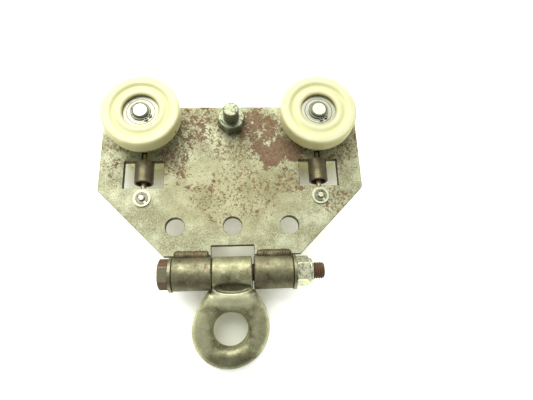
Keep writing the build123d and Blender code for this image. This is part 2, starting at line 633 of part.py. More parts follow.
for end, end_sign in ENDS.items():
    with BuildPart() as hinge_washer:
        with BuildSketch(hinge_plane(end_sign * (TUBE_OUTER_X + WASHER_GAP))):
            with Locations((0, -WASHER_DROP)):
                Circle(WASHER_RADIUS)
                Circle(WASHER_BORE_RADIUS, mode=Mode.SUBTRACT)
        extrude(amount=end_sign * WASHER_THICKNESS)
    save(hinge_washer, f"hinge_washer_{end}")

with BuildPart() as lock_nut:
    add(lock_nut_hexagon)
    with BuildSketch(hinge_plane(LOCK_NUT_X)):
        Circle(LOCK_NUT_COLLAR_RADIUS)
    extrude(amount=LOCK_NUT_HEIGHT)
    fillet(lock_nut.edges().filter_by(GeomType.CIRCLE).sort_by(Axis.X)[-1], LOCK_NUT_COLLAR_ROUND)
    with BuildSketch(hinge_plane(LOCK_NUT_X)):
        Circle(LOCK_NUT_BORE_RADIUS)
    extrude(amount=LOCK_NUT_HEIGHT, mode=Mode.SUBTRACT)
    # the collar's hollow for the insert
    with BuildSketch(hinge_plane(LOCK_NUT_X + LOCK_NUT_HEX_HEIGHT)):
        Circle(INSERT_RADIUS)
    extrude(amount=INSERT_HEIGHT, mode=Mode.SUBTRACT)
save(lock_nut, "lock_nut")

with BuildPart() as lock_nut_insert:
    with BuildSketch(hinge_plane(LOCK_NUT_X + LOCK_NUT_HEX_HEIGHT)):
        Circle(INSERT_RADIUS)
        Circle(THREAD_RADIUS, mode=Mode.SUBTRACT)
    extrude(amount=INSERT_HEIGHT)
save(lock_nut_insert, "lock_nut_insert")


# ---- load eye -------------------------------------------------------------------------------------

eye_up = Vector(0, -sin(radians(EYE_TILT)), cos(radians(EYE_TILT)))
eye_lean = (EYE_RING_X - EYE_X) / EYE_RING_DROP


def eye_level(drop):
    """A plane across the eye, this far below the hinge axis along the eye's own length, facing up it."""
    on_axis = Vector(EYE_X + eye_lean * drop, 0, HINGE_Z)
    return Plane(origin=on_axis - eye_up * drop, x_dir=(1, 0, 0), z_dir=eye_up)


with BuildPart() as load_eye:
    with BuildSketch(hinge_plane(EYE_X)):
        Circle(EYE_BARREL_RADIUS)
    extrude(amount=EYE_BARREL_LENGTH / 2, both=True)
    chamfer(load_eye.edges().filter_by(GeomType.CIRCLE), EYE_BARREL_EDGE_BREAK)
    for stretch in (EYE_NECK, EYE_SHOULDERS):
        for drop, width, depth in stretch:
            with BuildSketch(eye_level(drop)):
                RectangleRounded(width, depth, EYE_NECK_ROUND)
        loft(ruled=True)
    with BuildSketch(eye_level(EYE_RING_DROP)):
        ring_mid = (EYE_HOLE_RADIUS + EYE_OUTER_RADIUS) / 2
        with Locations((ring_mid, 0)):
            ring_section = Rectangle(EYE_OUTER_RADIUS - EYE_HOLE_RADIUS, EYE_THICKNESS)
        fillet(ring_section.vertices().group_by(Axis.X)[-1], EYE_OUTER_ROUND)
        fillet(ring_section.vertices().group_by(Axis.X)[0], EYE_INNER_ROUND)
    revolve(axis=Axis(eye_level(EYE_RING_DROP).origin, eye_level(EYE_RING_DROP).y_dir))
    # the hollows under the barrel
    hollow_level = eye_level(EYE_HOLLOW_DROP)
    for face_sign in (-1, 1):
        face_dir = hollow_level.y_dir * face_sign
        with BuildSketch(
            Plane(origin=hollow_level.origin + face_dir * EYE_HOLLOW_FLOOR, x_dir=(1, 0, 0), z_dir=face_dir)
        ):
            SlotOverall(EYE_HOLLOW_LENGTH, EYE_HOLLOW_HEIGHT)
        extrude(amount=EYE_THICKNESS, mode=Mode.SUBTRACT)
    with BuildSketch(hinge_plane(EYE_X)):
        Circle(EYE_BORE_RADIUS)
    extrude(amount=EYE_BARREL_LENGTH / 2, both=True, mode=Mode.SUBTRACT)
save(load_eye, "load_eye")
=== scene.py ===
"""The looks of a four-wheel trolley: carrier plate, nylon wheels, guide rollers, hinge and load eye."""

import json
from math import atan, cos, pi, radians, sin

import bpy
import numpy as np
from mathutils import Matrix, Vector


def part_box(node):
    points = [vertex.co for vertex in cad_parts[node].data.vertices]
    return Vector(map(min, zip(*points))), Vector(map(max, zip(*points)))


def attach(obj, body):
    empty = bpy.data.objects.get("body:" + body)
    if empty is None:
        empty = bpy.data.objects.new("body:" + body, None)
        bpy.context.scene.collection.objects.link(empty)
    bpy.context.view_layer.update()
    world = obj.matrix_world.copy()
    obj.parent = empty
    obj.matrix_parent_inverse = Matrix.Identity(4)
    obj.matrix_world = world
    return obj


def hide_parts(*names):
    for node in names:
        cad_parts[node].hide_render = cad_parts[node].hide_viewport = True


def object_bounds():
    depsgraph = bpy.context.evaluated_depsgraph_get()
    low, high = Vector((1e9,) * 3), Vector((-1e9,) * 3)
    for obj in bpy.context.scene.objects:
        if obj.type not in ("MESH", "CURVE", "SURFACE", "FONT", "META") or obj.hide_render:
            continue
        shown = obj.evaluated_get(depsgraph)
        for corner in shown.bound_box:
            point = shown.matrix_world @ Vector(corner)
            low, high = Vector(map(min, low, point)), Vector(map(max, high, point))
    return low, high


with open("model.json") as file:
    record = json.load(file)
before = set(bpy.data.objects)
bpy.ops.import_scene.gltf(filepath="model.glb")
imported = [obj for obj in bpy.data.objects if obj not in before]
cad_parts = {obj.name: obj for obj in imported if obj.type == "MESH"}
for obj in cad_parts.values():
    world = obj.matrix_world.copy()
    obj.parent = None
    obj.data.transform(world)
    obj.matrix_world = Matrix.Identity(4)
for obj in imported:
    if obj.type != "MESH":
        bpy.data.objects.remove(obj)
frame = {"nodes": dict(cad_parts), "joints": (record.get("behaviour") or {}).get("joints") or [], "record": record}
cad_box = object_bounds()

MM = 0.001
ENDS = {"left": -1, "right": 1}
SIDES = {"front": -1, "rear": 1}
PLACES = [(side, end) for side in SIDES for end in ENDS]

# ---- places that the looks need, read from the frame ----------------------------------------------

mounts = {mount["name"]: mount for mount in frame["record"]["mounts"]}
joints = {joint["name"]: joint for joint in frame["joints"]}
HINGE = np.array(joints["eye_swing"]["pos_m"])
HINGE_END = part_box("hinge_bolt")[1].x
LOCK_NUT_LOW, LOCK_NUT_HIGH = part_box("lock_nut")
AXLE_X, _, AXLE_Z = joints["wheel_spin_front_right"]["pos_m"]
EYE_CENTRE = np.array(mounts["load_eye"]["pos_m"])
EYE_FACE = np.array(mounts["load_eye"]["axis"])

# Sizes from here on are in mm, and turned into metres when a mesh is made.
HEX_FLATS = 19.0  # across flats of every nut and bolt head
HEX_RADIUS = HEX_FLATS / 3**0.5
HEX_EDGE_RADIUS = 0.35
HEX_TURNS = {"hinge_bolt": 8.9, "lock_nut": 8.5}  # degrees
MARGIN = 1.0  # room that a field's grid has round its shape


# ---- mesh tools -----------------------------------------------------------------------------------

def new_piece(name, vertices, faces, body, replaced=()):
    """A smooth-shaded mesh object that rides on a body and may stand for CAD nodes."""
    mesh = bpy.data.meshes.new(name)
    mesh.from_pydata([tuple(v) for v in vertices], [], [tuple(f) for f in faces])
    mesh.validate()
    mesh.shade_smooth()
    piece = bpy.data.objects.new(name, mesh)
    bpy.context.scene.collection.objects.link(piece)
    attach(piece, body)
    if replaced:
        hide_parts(*replaced)
    return piece


def smooth_union(a, b, width):
    """The union of two distance fields with a fillet of about this width."""
    blend = np.clip(0.5 + 0.5 * (b - a) / width, 0, 1)
    return b * (1 - blend) + a * blend - width * blend * (1 - blend)


def smooth_cut(a, b, width):
    """Field a with field b taken away, its rim rounded."""
    return -smooth_union(-a, b, width)


def rounded(planar, axial, radius):
    """Two perpendicular distances joined into a solid with edges of this radius."""
    p = np.maximum(planar + radius, 0)
    q = np.maximum(axial + radius, 0)
    return np.hypot(p, q) + np.minimum(np.maximum(planar, axial) + radius, 0) - radius


RIPPLE_WAVES = 6


def ripple(x, y, z, size, seed):
    """Smooth unevenness from -1 to 1: a few crossed waves about this long."""
    dice = np.random.default_rng(seed)
    total = 0.0
    for _ in range(RIPPLE_WAVES):
        direction = dice.normal(size=3)
        direction *= 2 * pi / (size * dice.uniform(0.7, 1.5) * np.linalg.norm(direction))
        phase = dice.uniform(0, 2 * pi)
        total = total + np.sin(x * direction[0] + y * direction[1] + z * direction[2] + phase)
    return total / RIPPLE_WAVES


def field_mesh(field, low, high, cell):
    """Vertices and quads of the surface where a distance field is zero, by surface nets."""
    axes = [np.arange(a - cell, b + 2 * cell, cell) for a, b in zip(low, high)]
    grid = np.stack(np.meshgrid(*axes, indexing="ij"), axis=-1)
    value = field(*np.moveaxis(grid, -1, 0))
    inside = value < 0
    shape = tuple(n - 1 for n in value.shape)
    total = np.zeros(shape + (3,))
    count = np.zeros(shape)
    corners = [(i, j, k) for i in (0, 1) for j in (0, 1) for k in (0, 1)]

    def corner(array, offset):
        return array[tuple(slice(o, o + n) for o, n in zip(offset, shape))]

    for start in corners:
        for axis in range(3):
            if start[axis]:
                continue
            stop = tuple(o + (n == axis) for n, o in enumerate(start))
            crossing = corner(inside, start) != corner(inside, stop)
            a, b = corner(value, start), corner(value, stop)
            share = np.where(crossing, a / np.where(crossing, a - b, 1), 0)
            point = corner(grid, start) + share[..., None] * (corner(grid, stop) - corner(grid, start))
            total += np.where(crossing[..., None], point, 0)
            count += crossing
    used = count > 0
    index = np.full(shape, -1)
    index[used] = np.arange(used.sum())
    vertices = total[used] / count[used][:, None]

    quads = []
    for axis in range(3):
        u, v = [n for n in range(3) if n != axis]
        first = [slice(1, -1)] * 3
        first[axis] = slice(0, -1)
        second = list(first)
        second[axis] = slice(1, None)
        a, b = inside[tuple(first)], inside[tuple(second)]
        place = np.argwhere(a != b)
        place[:, [u, v]] += 1
        ring = []
        for du, dv in ((-1, -1), (0, -1), (0, 0), (-1, 0)):
            at = place.copy()
            at[:, u] += du
            at[:, v] += dv
            ring.append(index[tuple(at.T)])
        ring = np.stack(ring, axis=1)
        outward = a[a != b] != (axis == 1)
        quads.append(np.where(outward[:, None], ring, ring[:, ::-1]))

    step = cell / 50
    for _ in range(4):  # pull every vertex onto the surface
        here = field(*vertices.T)
        slope = np.stack(
            [field(*(vertices + step * e).T) - field(*(vertices - step * e).T) for e in np.eye(3)], axis=1
        ) / (2 * step)
        move = here[:, None] * slope / np.maximum((slope**2).sum(1), 0.05)[:, None]
        vertices = vertices - np.clip(move, -0.4 * cell, 0.4 * cell)
    return vertices, np.concatenate(quads)


def lathe_mesh(profile, segments, origin, side):
    """A turned solid about a Y axis through origin, from a closed outline of (radius, D) points."""
    count = len(profile)
    turn = np.arange(segments) * 2 * pi / segments
    radius, depth = np.array(profile).T
    vertices = np.stack([
        origin[0] + np.outer(np.cos(turn), radius),
        origin[1] + side * np.outer(np.ones(segments), depth),
        origin[2] + np.outer(np.sin(turn), radius),
    ], axis=-1).reshape(-1, 3)
    faces = []
    for s in range(segments):
        for p in range(count):
            a, b = s * count + p, s * count + (p + 1) % count
            c, d = (s + 1) % segments * count + (p + 1) % count, (s + 1) % segments * count + p
            faces.append((a, b, c, d) if side > 0 else (d, c, b, a))
    return vertices, faces


def bezier(points, steps):
    """Points along a smooth open curve of cubic Bezier spans: (point, handle, handle, point, ...)."""
    line = []
    for n in range(0, len(points) - 1, 3):
        p = [np.array(q, float) for q in points[n : n + 4]]
        for t in np.linspace(0, 1, steps, endpoint=False):
            r = 1 - t
            line.append(r**3 * p[0] + 3 * t * r**2 * p[1] + 3 * t * t * r * p[2] + t**3 * p[3])
    line.append(np.array(points[-1], float))
    return line


# ---- materials ------------------------------------------------------------------------------------

class Look:
    """A procedural material being wired up, with short calls for the nodes that the looks share.

    Sizes are in metres and follow the object's own coordinates."""

    def __init__(self, name, metallic=0.0, roughness=0.5):
        self.material = bpy.data.materials.new(name)
        self.material.use_nodes = True
        self.tree = self.material.node_tree
        self.shader = self.tree.nodes["Principled BSDF"]
        self.shader.inputs["Metallic"].default_value = metallic
        self.shader.inputs["Roughness"].default_value = roughness
        coordinates = self.tree.nodes.new("ShaderNodeTexCoord")
        self.place = coordinates.outputs["Object"]
        self.facing = coordinates.outputs["Normal"]
        split = self.node("ShaderNodeSeparateXYZ", self.place)
        self.x, self.y, self.z = split.outputs

    def node(self, kind, *inputs):
        """A new node with its first inputs linked or set."""
        node = self.tree.nodes.new(kind)
        for socket, value in zip(node.inputs, inputs):
            self.feed(socket, value)
        return node

    def feed(self, socket, value):
        if isinstance(value, bpy.types.NodeSocket):
            self.tree.links.new(value, socket)
        elif value is not None:
            socket.default_value = value

    def math(self, operation, a, b=0.5, c=0.5):
        node = self.node("ShaderNodeMath", a, b, c)
        node.operation = operation
        return node.outputs[0]

    def noise(self, size, seed, detail=4.0, roughness=0.55, stretch=None):
        place = self.place
        if stretch:
            scaled = self.node("ShaderNodeVectorMath", place, stretch)
            scaled.operation = "MULTIPLY"
            place = scaled.outputs[0]
        node = self.tree.nodes.new("ShaderNodeTexNoise")
        node.noise_dimensions = "4D"
        self.feed(node.inputs["Vector"], place)
        node.inputs["W"].default_value = seed
        node.inputs["Scale"].default_value = 1 / size
        node.inputs["Detail"].default_value = detail
        node.inputs["Roughness"].default_value = roughness
        return node.outputs["Fac"]

    def step(self, value, start, end, low=0.0, high=1.0):
        """Rises smoothly from low to high as the value goes from start to end."""
        node = self.tree.nodes.new("ShaderNodeMapRange")
        node.interpolation_type = "SMOOTHSTEP"
        for socket, given in zip(node.inputs, (value, start, end, low, high)):
            self.feed(socket, given)
        return node.outputs[0]

    def mix(self, share, a, b):
        node = self.tree.nodes.new("ShaderNodeMix")
        node.data_type = "RGBA"
        self.feed(node.inputs[0], share)
        self.feed(node.inputs[6], a if isinstance(a, bpy.types.NodeSocket) else (*a, 1))
        self.feed(node.inputs[7], b if isinstance(b, bpy.types.NodeSocket) else (*b, 1))
        return node.outputs[2]

    def patch(self, centre, radii, ragged, seed, size):
        """1 inside a ragged oval in the XZ plane, falling to 0 round it."""
        u = self.math("MULTIPLY", self.math("SUBTRACT", self.x, centre[0]), 1 / radii[0])
        v = self.math("MULTIPLY", self.math("SUBTRACT", self.z, centre[1]), 1 / radii[1])
        reach = self.math("SQRT", self.math("ADD", self.math("MULTIPLY", u, u), self.math("MULTIPLY", v, v)))
        wobble = self.math("MULTIPLY", self.math("SUBTRACT", self.noise(size, seed), 0.5), ragged)
        return self.step(self.math("ADD", reach, wobble), 1.25, 0.6)

    def axle_reach(self):
        """The distance from the nearest wheel axle's axis."""
        across = self.math("SUBTRACT", self.math("ABSOLUTE", self.x), AXLE_X)
        up = self.math("SUBTRACT", self.z, AXLE_Z)
        return self.math("SQRT", self.math("ADD", self.math("MULTIPLY", across, across),
                                           self.math("MULTIPLY", up, up)))

    def colour(self, value):
        self.feed(self.shader.inputs["Base Color"], value)

    def roughness(self, value):
        self.feed(self.shader.inputs["Roughness"], value)

    def metallic(self, value):
        self.feed(self.shader.inputs["Metallic"], value)

    def bump(self, *layers):
        """Height layers of (value, depth in metres), added together."""
        height = None
        for value, depth in layers:
            layer = self.math("MULTIPLY", value, depth)
            height = layer if height is None else self.math("ADD", height, layer)
        node = self.tree.nodes.new("ShaderNodeBump")
        node.inputs["Strength"].default_value = 1.0
        node.inputs["Distance"].default_value = 1.0
        self.feed(node.inputs["Height"], height)
        self.feed(self.shader.inputs["Normal"], node.outputs["Normal"])


RUST_DARK = (0.085, 0.045, 0.022)
RUST = (0.150, 0.082, 0.040)
RUST_PALE = (0.240, 0.150, 0.080)
RUST_DOTS = (0.17, 0.105, 0.035)
# painted shade for the undersides and flanks of dark steel
PAINTED_SHADE_DARK = (0.045, 0.042, 0.022)
PAINTED_SHADE_LINE = (0.05, 0.05, 0.035)
CUT_EDGE_OXIDE_AND_SHADE = (0.055, 0.050, 0.028)

# Where the plate is rusty besides its large patch: centre, radii, seed, weight.
PLATE_RUST = [
    ((0.020, 0.026), (0.022, 0.018), 5.0, 0.64),
    ((0.000, -0.030), (0.044, 0.028), 6.0, 0.36),
    ((0.088, 0.014), (0.018, 0.032), 7.0, 0.40),
    ((-0.028, 0.026), (0.022, 0.022), 8.0, 0.50),
    ((0.050, -0.020), (0.024, 0.014), 9.0, 0.42),
    ((-0.044, 0.000), (0.014, 0.024), 10.0, 0.52),
    ((0.078, -0.036), (0.014, 0.014), 11.0, 0.45),
    ((-0.088, 0.004), (0.014, 0.026), 17.0, 0.36),
    ((0.004, 0.004), (0.026, 0.016), 18.0, 0.38),
]

# Where the load eye has painted highlights and painted shade, and one darker patch on top of the barrel: centre,
# radii, colour, share.
EYE_TONE_AND_PAINTED_LIGHT = [
    ((-0.0010, -0.1080), (0.018, 0.0060), (0.72, 0.73, 0.47), 0.55),  # neck, painted highlight
    ((-0.0006, -0.0993), (0.0125, 0.0034), (0.055, 0.052, 0.026), 0.75),  # hollow, painted shade
    ((-0.0006, -0.0830), (0.0200, 0.0070), (0.30, 0.29, 0.16), 0.35),  # top of the barrel
    ((-0.0240, -0.1280), (0.008, 0.0200), (0.66, 0.67, 0.42), 0.45),  # left side of the ring, painted highlight
    ((0.0200, -0.1260), (0.007, 0.0180), (0.60, 0.61, 0.38), 0.35),  # right side of the ring, painted highlight
    ((-0.0020, -0.1500), (0.020, 0.0080), (0.14, 0.135, 0.075), 0.60),  # bottom of the ring, painted shade
]


def plate_look():
    """Pale worn plate: cloudy grey-green, brown rust in speckles and one large patch, dark cut edges from dark
    oxide and painted shade.
    """
    look = Look("plate_worn_steel")
    cloud = look.noise(0.016, 1.0, detail=6, roughness=0.6)
    pale = look.mix(look.step(cloud, 0.36, 0.66), (0.27, 0.265, 0.145), (0.44, 0.455, 0.29))
    grain = look.noise(0.0009, 2.0, detail=3)
    pale = look.mix(look.step(grain, 0.46, 0.72, 0.0, 0.6), pale, (0.66, 0.68, 0.47))
    pale = look.mix(look.step(grain, 0.47, 0.32, 0.0, 0.60), pale, (0.13, 0.12, 0.06))
    film = look.patch((-0.002, -0.030), (0.060, 0.034), 1.1, 3.0, 0.020)
    pale = look.mix(look.math("MULTIPLY", film, 0.55), pale, (0.27, 0.245, 0.115))
    density = look.patch((0.036, 0.004), (0.019, 0.014), 2.2, 4.0, 0.016)
    for centre, radii, seed, weight in PLATE_RUST:
        more = look.math("MULTIPLY", look.patch(centre, radii, 1.4, seed, 0.010), weight)
        density = look.math("MAXIMUM", density, more)
    coarse = look.math("MULTIPLY", look.noise(0.0045, 12.0, detail=7, roughness=0.68), 0.72)
    fine = look.math("MULTIPLY", look.noise(0.0012, 13.0, detail=3), 0.28)
    speck = look.math("ADD", coarse, fine)
    edge = look.step(density, 0.0, 1.0, 0.660, 0.36)
    rust = look.step(look.math("SUBTRACT", speck, edge), -0.008, 0.022)
    thin = look.step(density, 0.0, 0.45, 0.66, 0.515)
    dotted = look.noise(0.0017, 19.0, detail=3, roughness=0.6)
    dots = look.step(look.math("SUBTRACT", dotted, thin), 0.0, 0.05)
    tone = look.mix(look.step(look.noise(0.002, 14.0), 0.35, 0.65), RUST, RUST_PALE)
    pale = look.mix(look.math("MULTIPLY", dots, 0.85), pale, RUST_DOTS)
    pale = look.mix(look.math("MULTIPLY", rust, 0.90), pale, tone)
    # Painted shade, with dark oxide: the faces that turn away from the front and back, the cut edges and window
    # walls, are darkened.
    facing = look.math("ABSOLUTE", look.node("ShaderNodeSeparateXYZ", look.facing).outputs["Y"])
    edge_oxide_and_shade = look.step(facing, 0.90, 0.55)
    look.colour(look.mix(look.math("MULTIPLY", edge_oxide_and_shade, 0.88), pale, CUT_EDGE_OXIDE_AND_SHADE))
    look.metallic(look.step(rust, 0.0, 1.0, 0.45, 0.05))
    look.roughness(look.step(rust, 0.0, 1.0, look.step(cloud, 0.3, 0.7, 0.62, 0.50), 0.85))
    scratch = look.noise(0.0006, 15.0, detail=2, stretch=(0.06, 1.0, 1.0))
    look.bump((grain, 0.00007), (rust, -0.00008), (dots, -0.00003), (scratch, 0.00002))
    return look.material


def dark_steel_look(name, seed, dark, mid, bright, roughness=0.42, rust=0.635, underside_shade=0.0, places=()):
    """Oily dark steel with a mottled skin, worn brighter and brassy in patches, and a little rust, with painted
    shade on its undersides and flanks.

    Places are ovals of (centre, radii, colour, share) painted over the skin; on the load eye they hold painted
    highlights, painted shade and one plain darker patch."""
    look = Look(name, metallic=0.85)
    cloud = look.noise(0.0085, seed, detail=6, roughness=0.62)
    skin = look.mix(look.step(cloud, 0.30, 0.52), dark, mid)
    skin = look.mix(look.step(cloud, 0.50, 0.72), skin, bright)
    grain = look.noise(0.0012, seed + 1, detail=4, roughness=0.6)
    skin = look.mix(look.step(grain, 0.48, 0.75, 0.0, 0.55), skin, bright)
    pits = look.step(look.noise(0.0016, seed + 2, detail=3), 0.62, 0.70)
    skin = look.mix(look.math("MULTIPLY", pits, 0.75), skin, dark)
    spots = look.step(look.noise(0.0045, seed + 3, detail=6, roughness=0.65), rust, rust + 0.05)
    # Painted shade: faces that turn down, and faces that turn away from the front and back, are darkened.
    facing = look.node("ShaderNodeSeparateXYZ", look.facing)
    low = look.step(facing.outputs["Z"], -0.35, -0.85, 0.0, underside_shade)
    flank = look.step(look.math("ABSOLUTE", facing.outputs["Y"]), 0.50, 0.10, 0.0, 0.6)
    skin = look.mix(look.math("MAXIMUM", low, flank), skin, PAINTED_SHADE_DARK)
    for centre, radii, tone, share in places:
        oval = look.patch(centre, radii, 0.5, seed + 4, 0.004)
        skin = look.mix(look.math("MULTIPLY", oval, share), skin, tone)
    look.colour(look.mix(spots, skin, RUST))
    look.metallic(look.step(spots, 0.0, 1.0, 0.70, 0.15))
    look.roughness(look.step(grain, 0.35, 0.70, roughness + 0.10, roughness - 0.04))
    look.bump((grain, 0.00007), (pits, -0.00006), (cloud, 0.00025))
    return look.material


def zinc_look(name, seed, base, stain, stained=0.60, roughness=0.34, shade_circles=()):
    """Dull zinc or bare turned steel, spotted with stains. Shade circles are radii round the axles, in m, where
    thin dark circles of painted shade lie: the wheel lip's shadow and the gaps between the bearing's rings and
    shields.
    """
    look = Look(name, metallic=0.9)
    cloud = look.noise(0.004, seed, detail=5)
    dirt = look.step(look.noise(0.0022, seed + 1, detail=6, roughness=0.65), stained, stained + 0.12)
    tone = look.mix(look.step(cloud, 0.35, 0.7, 0.0, 0.6), base, tuple(0.72 * c for c in base))
    tone = look.mix(dirt, tone, stain)
    # thin circles of painted shade round the axles
    for groove in shade_circles:
        off = look.math("ABSOLUTE", look.math("SUBTRACT", look.axle_reach(), groove))
        tone = look.mix(look.step(off, 0.00042, 0.00018, 0.0, 0.9), tone, PAINTED_SHADE_LINE)
    look.colour(tone)
    look.metallic(look.step(dirt, 0.0, 1.0, 0.9, 0.3))
    look.roughness(look.step(dirt, 0.0, 1.0, roughness, 0.75))
    grain = look.noise(0.0008, seed + 2, detail=3)
    look.bump((grain, 0.00002), (dirt, 0.00002))
    return look.material


def rust_look(name, seed, bare, bare_from=0.60):
    """Brown rust over dark steel, worn back to the metal in places, and painted as lighter bare metal on the
    head's flat that faces -Y, a painted highlight.
    """
    look = Look(name)
    grain = look.noise(0.0012, seed, detail=6, roughness=0.7)
    cloud = look.noise(0.0050, seed + 1, detail=5)
    tone = look.mix(look.step(grain, 0.35, 0.65), RUST_DARK, RUST)
    tone = look.mix(look.step(cloud, 0.50, 0.70, 0.0, 0.6), tone, RUST_PALE)
    worn_and_highlight = look.step(look.math("ADD", look.math("MULTIPLY", cloud, 0.6), look.math("MULTIPLY", grain, 0.4)),
                       bare_from, bare_from + 0.10)
    # Painted highlight: the head's flat that faces -Y is shown as lighter bare metal.
    front = look.step(look.node("ShaderNodeSeparateXYZ", look.facing).outputs["Y"], -0.90, -0.97)
    front = look.math("MULTIPLY", front, look.step(look.x, HINGE[0] - 0.042, HINGE[0] - 0.044, 0.0, 0.8))
    worn_and_highlight = look.math("MAXIMUM", worn_and_highlight, front)
    look.colour(look.mix(worn_and_highlight, tone, bare))
    look.metallic(look.step(worn_and_highlight, 0.0, 1.0, 0.25, 0.8))
    look.roughness(look.step(worn_and_highlight, 0.0, 1.0, 0.72, 0.42))
    look.bump((grain, 0.00012), (cloud, 0.0001))
    return look.material


def nylon_look():
    """Ivory moulded nylon, yellower in its dish, with a dirty tread and a few dark marks."""
    look = Look("wheel_ivory_nylon", roughness=0.42)
    reach = look.axle_reach()
    cloud = look.noise(0.012, 21.0, detail=4)
    ivory = look.mix(look.step(cloud, 0.35, 0.65), (0.67, 0.675, 0.385), (0.71, 0.72, 0.45))
    dish = look.math("MULTIPLY", look.step(reach, 0.0165, 0.0200), look.step(reach, 0.0240, 0.0205))
    ivory = look.mix(look.math("MULTIPLY", dish, 0.75), ivory, (0.68, 0.665, 0.29))
    lip = look.step(reach, 0.0155, 0.0134)
    ivory = look.mix(look.math("MULTIPLY", lip, 0.75), ivory, (0.52, 0.45, 0.16))
    tread = look.step(look.math("ADD", reach, look.math("MULTIPLY", look.noise(0.006, 22.0), 0.0012)),
                      0.0280, 0.0291)
    grime = look.mix(look.noise(0.004, 23.0, detail=5), (0.62, 0.55, 0.22), (0.84, 0.78, 0.40))
    ivory = look.mix(look.math("MULTIPLY", tread, 0.60), ivory, grime)
    marks = look.step(look.noise(0.0040, 24.0, detail=2, stretch=(1.0, 0.5, 1.0)), 0.70, 0.74)
    marks = look.math("MULTIPLY", marks, look.step(reach, 0.0262, 0.0275))
    look.colour(look.mix(marks, ivory, (0.10, 0.08, 0.05)))
    look.shader.inputs["Subsurface Weight"].default_value = 0.15
    look.shader.inputs["Subsurface Scale"].default_value = 0.004
    look.shader.inputs["Subsurface Radius"].default_value = (1.0, 0.8, 0.4)
    grain = look.noise(0.0015, 25.0, detail=3)
    look.roughness(look.step(grain, 0.3, 0.7, 0.36, 0.50))
    look.bump((grain, 0.00002), (look.noise(0.006, 26.0), 0.00015), (marks, -0.0001))
    return look.material


def roller_look():
    """Turned steel gone brown with oil and rust, with faint lines round it."""
    look = Look("roller_browned_steel", metallic=0.7)
    lines = look.noise(0.0005, 31.0, detail=3, stretch=(0.05, 0.05, 1.0))
    cloud = look.noise(0.006, 32.0, detail=5)
    tone = look.mix(look.step(cloud, 0.3, 0.7), (0.105, 0.088, 0.044), (0.165, 0.145, 0.080))
    tone = look.mix(look.step(lines, 0.45, 0.7, 0.0, 0.35), tone, (0.23, 0.195, 0.105))
    spots = look.step(look.noise(0.003, 33.0, detail=5), 0.60, 0.68)
    look.colour(look.mix(look.math("MULTIPLY", spots, 0.7), tone, RUST))
    look.roughness(look.step(cloud, 0.3, 0.7, 0.50, 0.38))
    look.bump((lines, 0.00003), (spots, 0.00004))
    return look.material


def clear_nylon_look():
    """The lock nut's natural nylon insert, slightly milky and scuffed."""
    look = Look("insert_natural_nylon", roughness=0.4)
    scuff = look.noise(0.0015, 41.0, detail=4)
    look.colour(look.mix(look.step(scuff, 0.35, 0.7), (0.50, 0.50, 0.42), (0.66, 0.66, 0.58)))
    look.roughness(look.step(scuff, 0.3, 0.7, 0.35, 0.55))
    look.bump((scuff, 0.00002))
    return look.material


# Slot: material name, seed, colour, stain, where the stain starts, roughness, circles of painted shade.
ZINC_LOOKS = {
    "axle_steel": ("axle_turned_steel", 66.0, (0.42, 0.46, 0.35), (0.30, 0.27, 0.17), 0.66),
    "zinc_steel": ("bolt_dull_zinc", 71.0, (0.30, 0.32, 0.21), (0.12, 0.11, 0.055), 0.50, 0.44),
    "nut_steel": ("nut_dull_zinc", 76.0, (0.27, 0.29, 0.19), (0.09, 0.08, 0.04), 0.52, 0.42),
    "lock_nut_zinc": ("lock_nut_stained_zinc", 81.0, (0.70, 0.73, 0.52), (0.16, 0.145, 0.08), 0.50, 0.44),
    "washer_steel": ("washer_stained_zinc", 86.0, (0.27, 0.26, 0.155), (0.20, 0.16, 0.09), 0.54, 0.45),
    "clip_zinc": ("pin_washer_zinc", 91.0, (0.46, 0.47, 0.32), (0.20, 0.18, 0.10), 0.58, 0.42),
    "bearing_steel": ("bearing_ground_steel", 96.0, (0.34, 0.35, 0.27), (0.18, 0.165, 0.10), 0.60, 0.36,
                      (0.0072,)),
    "shield_steel": ("bearing_bright_shield", 101.0, (0.38, 0.39, 0.29), (0.17, 0.155, 0.09), 0.60, 0.42,
                     (0.0127, 0.0104)),
    "ball_steel": ("bearing_polished_ball", 106.0, (0.80, 0.80, 0.78), (0.5, 0.48, 0.4), 0.75, 0.10),
    "cage_brass": ("bearing_cage_brass", 111.0, (0.62, 0.48, 0.22), (0.30, 0.22, 0.10), 0.68, 0.35),
    "spring_steel": ("spring_dark_steel", 116.0, (0.16, 0.155, 0.11), (0.08, 0.07, 0.04), 0.56, 0.38),
    "pin_steel": ("roller_pin_yellow_steel", 121.0, (0.50, 0.40, 0.22), (0.20, 0.12, 0.05), 0.52, 0.40),
}

LOOKS = {
    "plate_steel": plate_look(),
    "nylon": nylon_look(),
    "forged_steel": dark_steel_look(
        "eye_forged_steel", 51.0, (0.085, 0.080, 0.040), (0.31, 0.305, 0.165), (0.64, 0.65, 0.41),
        rust=0.68, underside_shade=0.35, places=EYE_TONE_AND_PAINTED_LIGHT,
    ),
    "tube_steel": dark_steel_look(
        "tube_oily_steel", 56.0, (0.070, 0.062, 0.030), (0.185, 0.175, 0.095), (0.36, 0.35, 0.205),
        roughness=0.44, rust=0.61, underside_shade=0.40,
    ),
    "weld_steel": dark_steel_look(
        "weld_rusty_bead", 61.0, (0.050, 0.036, 0.018), (0.120, 0.098, 0.048), (0.30, 0.28, 0.16),
        roughness=0.52, rust=0.56,
    ),
    "roller_steel": roller_look(),
    "rusty_steel": rust_look("hinge_bolt_rust", 126.0, (0.22, 0.215, 0.135)),
    "insert_nylon": clear_nylon_look(),
    **{slot: zinc_look(*values) for slot, values in ZINC_LOOKS.items()},
}

